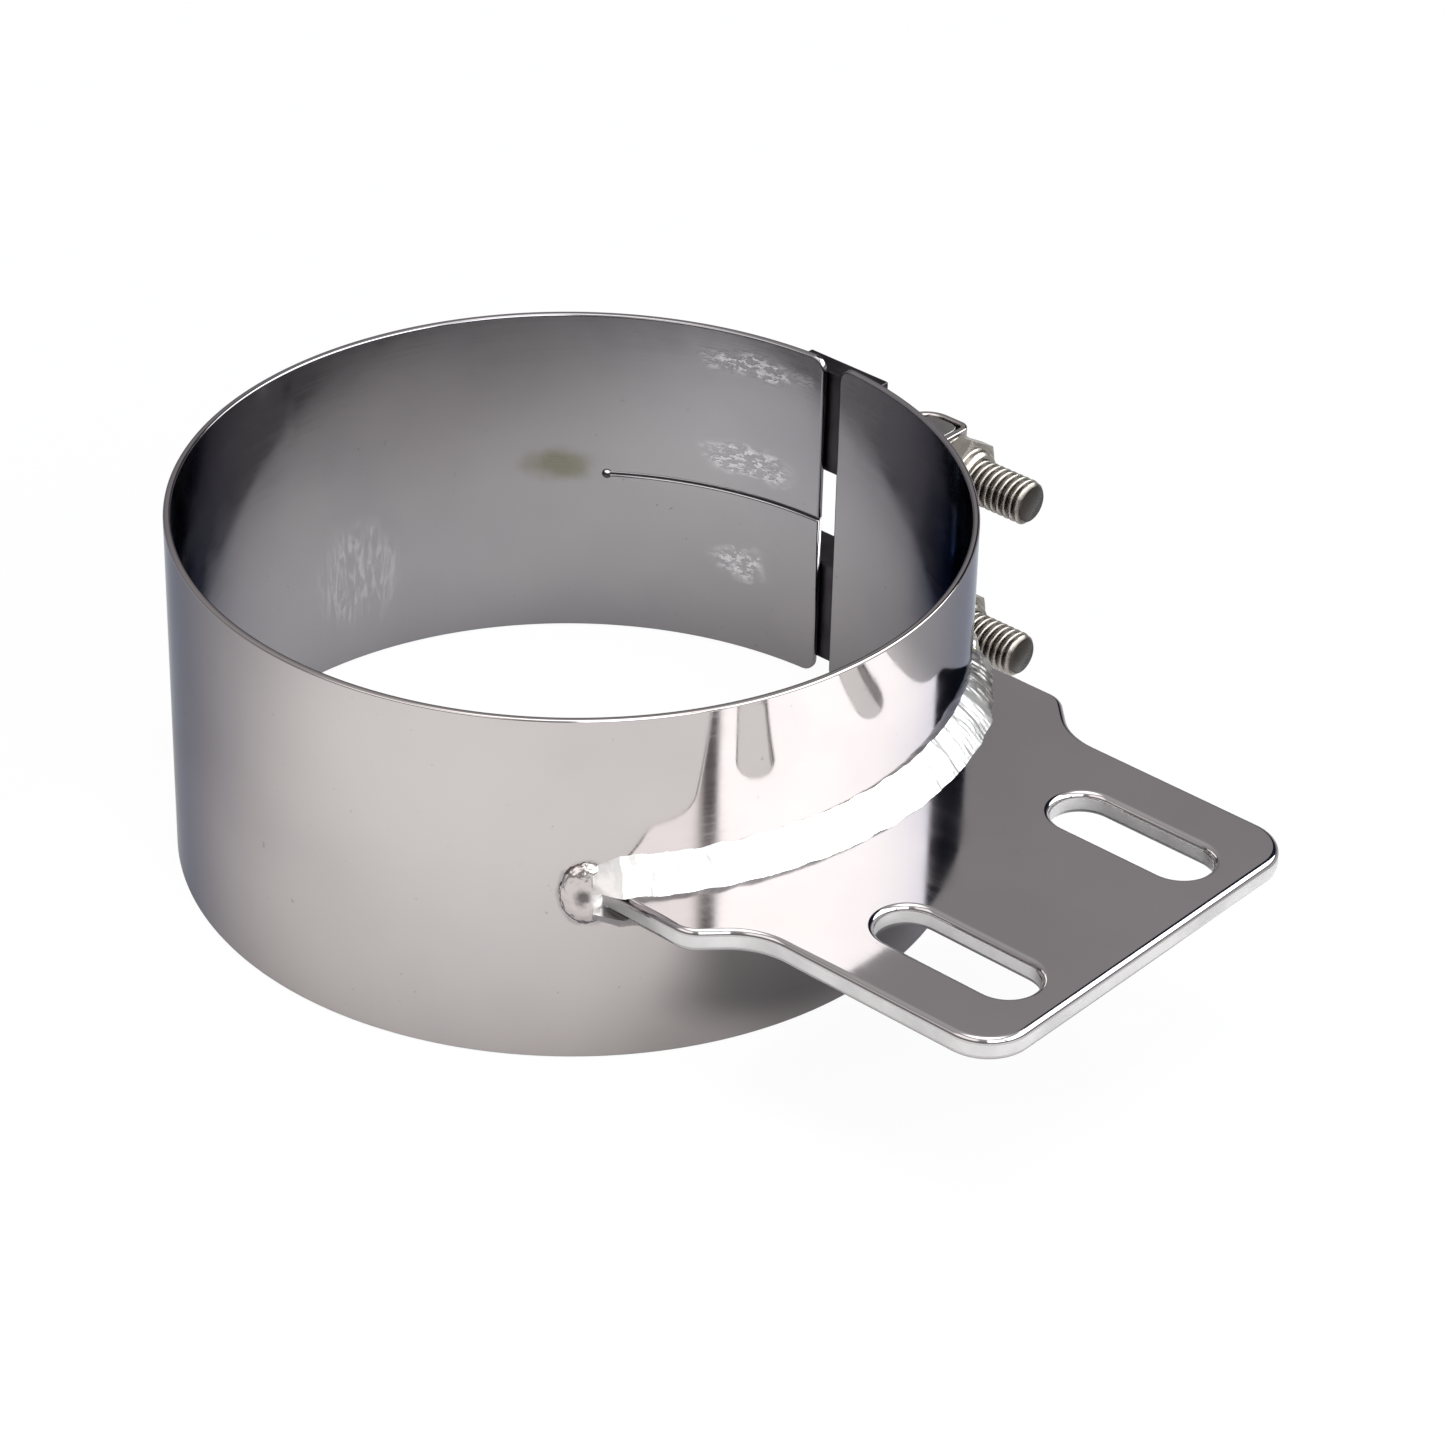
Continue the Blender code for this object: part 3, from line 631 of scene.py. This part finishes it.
# band
def make_band(outside, inside, slit_shade):
    """One continuous strip, bent from its flat outline, in place of the model's two rigid halves."""
    bm = sheet_bmesh("band", [band_outline()], WALL, BAND_EDGE)
    total = 2 * math.pi * OUTER
    count = round(2 * math.pi / BAND_STEP)
    for i in range(1, count):
        geometry = [*bm.verts, *bm.edges, *bm.faces]
        place = (total * i / count, 0, 0)
        bmesh.ops.bisect_plane(bm, geom=geometry, plane_co=place, plane_no=(1, 0, 0), dist=TINY)
    bm.verts.index_update()
    bm.faces.index_update()
    on_outer = {v.index for v in bm.verts if abs(v.co.z - WALL / 2) < TINY}
    on_inner = {v.index for v in bm.verts if abs(v.co.z + WALL / 2) < TINY}
    inner_faces = [f.index for f in bm.faces if f.calc_center_median().z < 0]
    slit_end = SLIT_ANGLE * OUTER + STOP_HOLE + BAND_EDGE
    slit_side = STOP_HOLE + BAND_EDGE
    # the slit's walls and the stop hole's rims take the painted shade
    slit_faces = []
    for face in bm.faces:
        centre = face.calc_center_median()
        in_hole = centre.x > SLIT_ANGLE * OUTER - slit_side
        reach = WALL / 2 - (0.01 * MM if in_hole else BAND_EDGE)
        if abs(centre.y) < slit_side and centre.x < slit_end and abs(centre.z) < reach:
            slit_faces.append(face.index)
    radials = {}
    for vertex in bm.verts:
        angle = UP + vertex.co.x / OUTER
        radial = Vector((math.cos(angle), math.sin(angle), 0))
        if vertex.index in on_outer:
            radials[vertex.index] = radial
        elif vertex.index in on_inner:
            radials[vertex.index] = -radial
        radius = OUTER - WALL / 2 + vertex.co.z
        vertex.co = AXIS + radial * radius + Vector((0, 0, vertex.co.y))
    bm.faces.ensure_lookup_table()
    for index in inner_faces:
        bm.faces[index].material_index = 1
    for index in slit_faces:
        bm.faces[index].material_index = 2
    mesh = mesh_from("band", bm, math.pi)
    face_normals(mesh, lambda vertex: radials.get(vertex.index))
    band = link("band", mesh, outside, None, ("band_bracket_half", "band_free_half"))
    mesh.materials.append(inside)
    mesh.materials.append(slit_shade)
    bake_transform(band)


# bracket and welds
def make_bracket(material, edge_highlight):
    middles = [(-AXIS.x, side * SLOT_PITCH / 2) for side in (-1, 1)]
    slots = [slot_outline(middle, SLOT_LENGTH, SLOT_WIDTH) for middle in middles]
    bm = sheet_bmesh("bracket", [bracket_outline(), *slots], PLATE, PLATE_EDGE)
    bmesh.ops.translate(bm, verts=bm.verts, vec=AXIS)
    # the side faces and slot walls take the painted highlight
    for face in bm.faces:
        if abs(face.calc_center_median().z - AXIS.z) < PLATE / 2 - PLATE_EDGE:
            face.material_index = 1
    mesh = mesh_from("bracket", bm, math.pi)
    faces = {}
    for vertex in mesh.vertices:
        height = vertex.co.z - AXIS.z
        if abs(height) > PLATE / 2 - TINY:
            faces[vertex.index] = Vector((0, 0, math.copysign(1, height)))
    face_normals(mesh, lambda vertex: faces.get(vertex.index))
    link("bracket", mesh, material, "root", ("bracket_plate",))
    mesh.materials.append(edge_highlight)


def make_weld_bead(name, side, material):
    """A rippled fillet along the band, above or below the plate; side is the sign of Z."""
    reach = math.asin(YOKE_WIDTH / 2 / OUTER)
    steps = 520
    across = 12
    ripple = 1.5 * MM
    rows = []
    for i in range(steps + 1):
        angle = -reach + 2 * reach * i / steps
        along = angle * OUTER
        out = Vector((math.cos(angle), math.sin(angle), 0))
        wander = [noise.noise(Vector((along * 260, side * 5.0, k * 9.0))) for k in range(3)]
        far = min(1.0, max(0.0, (math.degrees(angle) - 26) / 12))
        jag = noise.noise(Vector((along * 1300, side * 7.0, 0.0))) * (0.25 + 1.2 * far)
        taper = 0.62 + 0.38 * min(1.0, (reach - abs(angle)) * OUTER / (5 * MM))
        taper *= 1 - 0.3 * far
        wall_leg = WELD_LEG * taper * (1.0 + 0.10 * wander[0] + 0.06 * jag)
        plate_leg = WELD_LEG * taper * (1.06 + 0.12 * wander[1] - 0.08 * jag)
        row = []
        for k in range(across + 1):
            share = k / across
            swell = math.sin(math.pi * share)
            lag = 1.3 * MM * (1 - (2 * share - 1) ** 2)
            crest = abs(math.sin(math.pi * (along - lag + 0.5 * MM * wander[2]) / ripple))
            grain = noise.noise(Vector((along * 900, share * 2.5, side * 3.0)))
            bulge = swell * (0.24 * MM + (0.05 * crest + 0.12 * wander[2] + (0.06 + 0.3 * far) * grain) * MM)
            r = OUTER + plate_leg * share + bulge * 0.7
            z = PLATE / 2 + wall_leg * (1 - share) + bulge * 0.7
            row.append(AXIS + out * r + Vector((0, 0, side * z)))
        buried = AXIS + out * (OUTER - CLEAR) + Vector((0, 0, side * (PLATE / 2 - CLEAR)))
        rows.append(row + [buried])
    mesh = grid_mesh(name, rows)
    link(name + "_piece", mesh, material, "root", (name,))


def make_weld_end(name, side, material):
    """A low smooth lump with a crater, where the weld turns round the yoke's end; side is the sign of Y."""
    bm = bmesh.new()
    bmesh.ops.create_icosphere(bm, subdivisions=5, radius=1.0)
    angle = side * WELD_END_ANGLE
    turn = Matrix.Rotation(angle, 3, "Z")
    size = Vector((2.3 * MM, 4.9 * MM, 6.5 * MM))
    crater = Vector((0.97, side * 0.16, 0.05))
    for vertex in bm.verts:
        unit = vertex.co.copy()
        lumps = noise.fractal(unit * 2.3 + Vector((side * 3, 0, 0)), 0.8, 2.1, 4)
        fine = noise.fractal(unit * 7.0 + Vector((0, side * 4, 0)), 0.9, 2.0, 3)
        dent = math.exp(-((unit - crater).length / 0.36) ** 2)
        scale = 1.0 + 0.06 * lumps + 0.03 * fine - 0.30 * dent
        local = Vector((unit.x * size.x, unit.y * size.y, unit.z * size.z)) * scale
        place = turn @ (local + Vector((OUTER, 0, 0)))
        flat = Vector((place.x, place.y, 0))
        if flat.length < OUTER - CLEAR:
            flat *= (OUTER - CLEAR) / flat.length
            place = Vector((flat.x, flat.y, place.z))
        vertex.co = AXIS + place
    mesh = mesh_from(name, bm, math.radians(80))
    link(name + "_piece", mesh, material, "root", (name,))


# clamping hardware
def make_loop(node, body, material, bolt):
    low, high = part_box(node)
    near, far = low.x - AXIS.x, high.x - AXIS.x
    if near < 0:
        near, far = far, near
    outlines = strap_outlines(near, far, high.y)
    bm = sheet_bmesh(node, outlines, high.z - low.z, STRAP_EDGE)
    bmesh.ops.translate(bm, verts=bm.verts, vec=(AXIS.x, 0, (low.z + high.z) / 2))
    mesh = cut(mesh_from(node, bm), passage_bmesh(bolt, low.x - 5 * MM, high.x + 5 * MM))
    mesh.shade_smooth()
    mesh.set_sharp_from_angle(angle=math.radians(32))
    link(node + "_piece", mesh, material, body, (node,))


def refined(node, body, material, width):
    """The node's own shape with its flat faces merged and its edges softened."""
    bm = bmesh.new()
    bm.from_mesh(frame["nodes"][node].data)
    bmesh.ops.remove_doubles(bm, verts=bm.verts, dist=MERGE)
    bmesh.ops.dissolve_limit(bm, angle_limit=math.radians(0.6), verts=bm.verts, edges=bm.edges)
    piece = link(node + "_piece", mesh_from(node, bm), material, body, (node,))
    return soften(piece, width)


def make_bolt(node, body, material, pivot):
    """The threaded rod, with its thread as a height field round the axis."""
    low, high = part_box(node)
    start, end = low.x, high.x
    neck = pivot.x + 5.4 * MM
    chamfer = 0.9 * MM
    around = 48
    stations = [start, start + 0.3 * MM, neck - 0.05 * MM]
    step = PITCH / 12
    count = math.ceil((end - neck) / step)
    stations += [neck + (end - neck) * i / count for i in range(count + 1)]
    rows = []
    for x in stations:
        row = []
        for i in range(around):
            angle = 2 * math.pi * i / around
            phase = (x / PITCH - angle / (2 * math.pi)) % 1.0
            ridge = min(1.0, max(0.0, 1.35 * (1 - abs(2 * phase - 1)) - 0.12))
            ridge = ridge * ridge * (3 - 2 * ridge)
            r = BOLT_RADIUS - THREAD_DEPTH * (1 - ridge)
            r = min(r, BOLT_RADIUS - chamfer + (end - x) * 1.1)
            if x < neck:
                r = 3.0 * MM if x > start else 2.7 * MM
            row.append(Vector((x, pivot.y + r * math.sin(angle), pivot.z + r * math.cos(angle))))
        rows.append(row)
    mesh = grid_mesh(node, rows)
    mesh.set_sharp_from_angle(angle=math.radians(50))
    link(node + "_piece", mesh, material, body, (node,))


def turned(profile, place, around=64):
    """A ring turned about X through place, from a closed profile of (x, radius)."""
    rows = []
    for i in range(around):
        angle = 2 * math.pi * i / around
        y, z = math.cos(angle), math.sin(angle)
        rows.append([Vector((x, place.y + r * y, place.z + r * z)) for x, r in profile])
    return rows


def make_nut(node, body, material, pivot):
    """A lock nut: a hexagon with both ends chamfered, and a round collar with its insert's lip."""
    low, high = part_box(node)
    corner = (high.z - low.z) / 2
    flats = corner * math.sqrt(3) / 2
    shoulder = high.x - COLLAR
    cone = flats - 0.15 * MM
    profile = [
        (low.x, NUT_BORE),
        (low.x, cone),
        (low.x + (corner - cone) * 0.55, corner + 0.05 * MM),
        (shoulder - (corner - cone) * 0.55, corner + 0.05 * MM),
        (shoulder, cone),
        (shoulder, cone - 0.6 * MM),
        (shoulder + 0.25 * MM, 6.1 * MM),
        (high.x - 0.8 * MM, 6.0 * MM),
        (high.x - 0.2 * MM, 5.6 * MM),
        (high.x, 5.3 * MM),
        (high.x, NUT_BORE),
    ]
    body_mesh = grid_mesh(node, turned(profile, pivot, 96), close_rows=True)
    bm = bmesh.new()
    turn = Matrix.Rotation(UP, 4, "Y")
    place = Matrix.Translation((shoulder, pivot.y, pivot.z))
    sizes = {"radius1": corner, "radius2": corner, "depth": 30 * MM}
    bmesh.ops.create_cone(bm, cap_ends=True, segments=6, matrix=place @ turn, **sizes)
    spread = max(v.co.z for v in bm.verts) - pivot.z
    if spread < corner - 1e-6:
        centre = Vector((0, pivot.y, pivot.z))
        half_flat = Matrix.Rotation(math.radians(30), 3, "X")
        bmesh.ops.rotate(bm, verts=bm.verts, cent=centre, matrix=half_flat)
    mesh = cut(body_mesh, bm, "INTERSECT")
    mesh.shade_smooth()
    mesh.set_sharp_from_angle(angle=math.radians(25))
    link(node + "_piece", mesh, material, body, (node,))


def make_washer(node, body, material, pivot):
    low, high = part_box(node)
    radius = (high.z - low.z) / 2
    profile = [
        (low.x, WASHER_BORE),
        (low.x, radius - WASHER_EDGE),
        (low.x + WASHER_EDGE, radius),
        (high.x - WASHER_EDGE, radius),
        (high.x, radius - WASHER_EDGE),
        (high.x, WASHER_BORE),
    ]
    mesh = grid_mesh(node, turned(profile, pivot), close_rows=True)
    link(node + "_piece", mesh, material, body, (node,))


# surroundings
def add_floor():
    """A floor that is white to the camera; the steel sees it with painted shadow on the left, under the plate
    and behind.
    """
    bm = bmesh.new()
    bmesh.ops.create_circle(bm, cap_ends=True, segments=96, radius=6.0)
    mesh = bpy.data.meshes.new("floor")
    bm.to_mesh(mesh)
    bm.free()
    floor = bpy.data.objects.new("floor", mesh)
    bpy.context.scene.collection.objects.link(floor)
    floor.location = (AXIS.x, AXIS.y, cad_low.z - 0.2 * MM)
    material = bpy.data.materials.new("floor")
    material.use_nodes = True
    tree = material.node_tree
    tree.nodes.remove(tree.nodes["Principled BSDF"])
    place = add_node(tree, "ShaderNodeTexCoord").outputs["Object"]
    parts = add_node(tree, "ShaderNodeSeparateXYZ", {0: place}).outputs
    # painted shadow: darker paint on the left, under the plate and behind, which only the steel's reflections
    # show
    left = ramp(tree, parts[0], -0.17, -0.02, 0.65, 0.0)
    near_band = ramp(tree, parts[0], 0.070, 0.085, 0.0, 0.7)
    under = calc(tree, "MULTIPLY", near_band, ramp(tree, parts[0], 0.125, 0.165, 1.0, 0.0))
    width = ramp(tree, calc(tree, "ABSOLUTE", parts[1]), 0.030, 0.060, 1.0, 0.0)
    shade = calc(tree, "MAXIMUM", left, calc(tree, "MULTIPLY", under, width))
    behind = ramp(tree, parts[1], 0.085, 0.12, 0.0, 0.6)
    shade = calc(tree, "MAXIMUM", shade, behind)
    tone = mixed(tree, shade, (0.70, 0.69, 0.69), (0.13, 0.13, 0.14))
    paint = add_node(tree, "ShaderNodeBsdfDiffuse", {"Color": tone}).outputs[0]
    glow = add_node(tree, "ShaderNodeEmission", {"Color": (1, 1, 1, 1), "Strength": 1.02}).outputs[0]
    seen = add_node(tree, "ShaderNodeLightPath").outputs["Is Camera Ray"]
    share = calc(tree, "MULTIPLY", seen, 0.93)
    blend = add_node(tree, "ShaderNodeMixShader", {0: share, 1: paint, 2: glow}).outputs[0]
    tree.links.new(blend, tree.nodes["Material Output"].inputs["Surface"])
    mesh.materials.append(material)


def panel_mask(tree, turn, rise, azimuth, elevation, half_width, half_height, soft):
    """1 inside a soft-edged piece of sky between two azimuths and two elevations, given in degrees."""
    offset = calc(tree, "SUBTRACT", turn, math.radians(azimuth))
    aside = calc(tree, "ARCCOSINE", calc(tree, "COSINE", offset))
    above = calc(tree, "ABSOLUTE", calc(tree, "SUBTRACT", rise, math.radians(elevation)))
    edge = math.radians(half_width)
    side = ramp(tree, aside, edge - math.radians(soft), edge, 1.0, 0.0)
    edge = math.radians(half_height)
    return calc(tree, "MULTIPLY", side, ramp(tree, above, edge - math.radians(soft), edge, 1.0, 0.0))


def add_world():
    """A grey studio with soft white panels and one dark flag; the camera sees a white backdrop."""
    world = bpy.data.worlds.new("studio")
    world.use_nodes = True
    bpy.context.scene.world = world
    tree = world.node_tree
    direction = add_node(tree, "ShaderNodeTexCoord").outputs["Generated"]
    parts = add_node(tree, "ShaderNodeSeparateXYZ", {0: direction}).outputs
    turn = calc(tree, "ARCTAN2", parts[1], parts[0])
    rise = calc(tree, "ARCSINE", parts[2])
    colour = mixed(tree, ramp(tree, parts[2], 0.35, 0.95), (0.38, 0.365, 0.375), (0.8, 0.8, 0.8))
    # azimuth, elevation, half width, half height and soft edge in degrees, then the light
    panels = (
        (37.5, 36, 43.5, 20, 2, (6.5, 6.9, 6.9)),
        (-28, 36, 19.5, 20, 4, (5.0, 5.2, 5.2)),
        (-95, 40, 34, 20, 12, (2.4, 2.35, 2.3)),
        (0, 90, 180, 26, 14, (4.4, 4.4, 4.4)),
        (99.5, 33, 20.5, 18, 2, (0.020, 0.026, 0.045)),
    )
    for azimuth, elevation, half_width, half_height, soft, light in panels:
        mask = panel_mask(tree, turn, rise, azimuth, elevation, half_width, half_height, soft)
        colour = mixed(tree, mask, colour, light)
    seen = add_node(tree, "ShaderNodeLightPath").outputs["Is Camera Ray"]
    colour = mixed(tree, seen, colour, (1.02, 1.02, 1.02))
    tree.links.new(colour, tree.nodes["Background"].inputs["Color"])


def add_camera():
    data = bpy.data.cameras.new("camera")
    data.lens = CAMERA_LENS
    data.sensor_width = 36.0
    data.clip_start = 0.01
    camera = bpy.data.objects.new("camera", data)
    bpy.context.scene.collection.objects.link(camera)
    forward = Vector(CAMERA_FORWARD).normalized()
    right = Vector(CAMERA_RIGHT).normalized()
    up = right.cross(forward).normalized()
    right = forward.cross(up)
    turn = Matrix((right, up, -forward)).transposed().to_4x4()
    camera.matrix_world = Matrix.Translation(CAMERA_PLACE) @ turn
    bpy.context.scene.camera = camera


def build():
    add_camera()
    add_world()
    add_floor()
    bpy.context.scene.view_settings.view_transform = "Standard"

    strap = strap_finish()
    weld = weld_finish()
    weld_end = weld_end_finish()
    fastener = fastener_finish()
    # painted shade: the reaction blocks are near black, standing in for the shade in the band's gap
    reaction = block_finish("reaction_block_painted_shade", (0.06, 0.055, 0.06), (0.03, 0.027, 0.03))
    anchor = block_finish("anchor_block_steel", (0.32, 0.30, 0.30), (0.24, 0.225, 0.225))
    make_band(band_outside(), band_inside(), slit_shade_finish())
    make_bracket(plate_finish(), plate_edge_highlight_finish())
    for name, side in (("weld_bead_top", 1), ("weld_bead_bottom", -1)):
        make_weld_bead(name, side, weld)
    for name, side in (("weld_end_right", -1), ("weld_end_left", 1)):
        make_weld_end(name, side, weld_end)
    for level in ("upper", "lower"):
        pivot = Vector(JOINTS[level + "_bolt_swivel"]["pos_m"])
        make_loop(level + "_nut_loop", "root", strap, pivot)
        make_loop(level + "_trunnion_loop", "free_half", strap, pivot)
        refined(level + "_reaction_block", "root", reaction, SOFT_EDGE)
        refined(level + "_anchor_block", "root", anchor, SOFT_EDGE)
        refined(level + "_trunnion", level + "_bolt_body", fastener, SOFT_EDGE)
        make_bolt(level + "_bolt", level + "_bolt_body", fastener, pivot)
        make_washer(level + "_washer", level + "_washer_body", fastener, pivot)
        make_nut(level + "_nut", level + "_nut_body", fastener, pivot)


build()
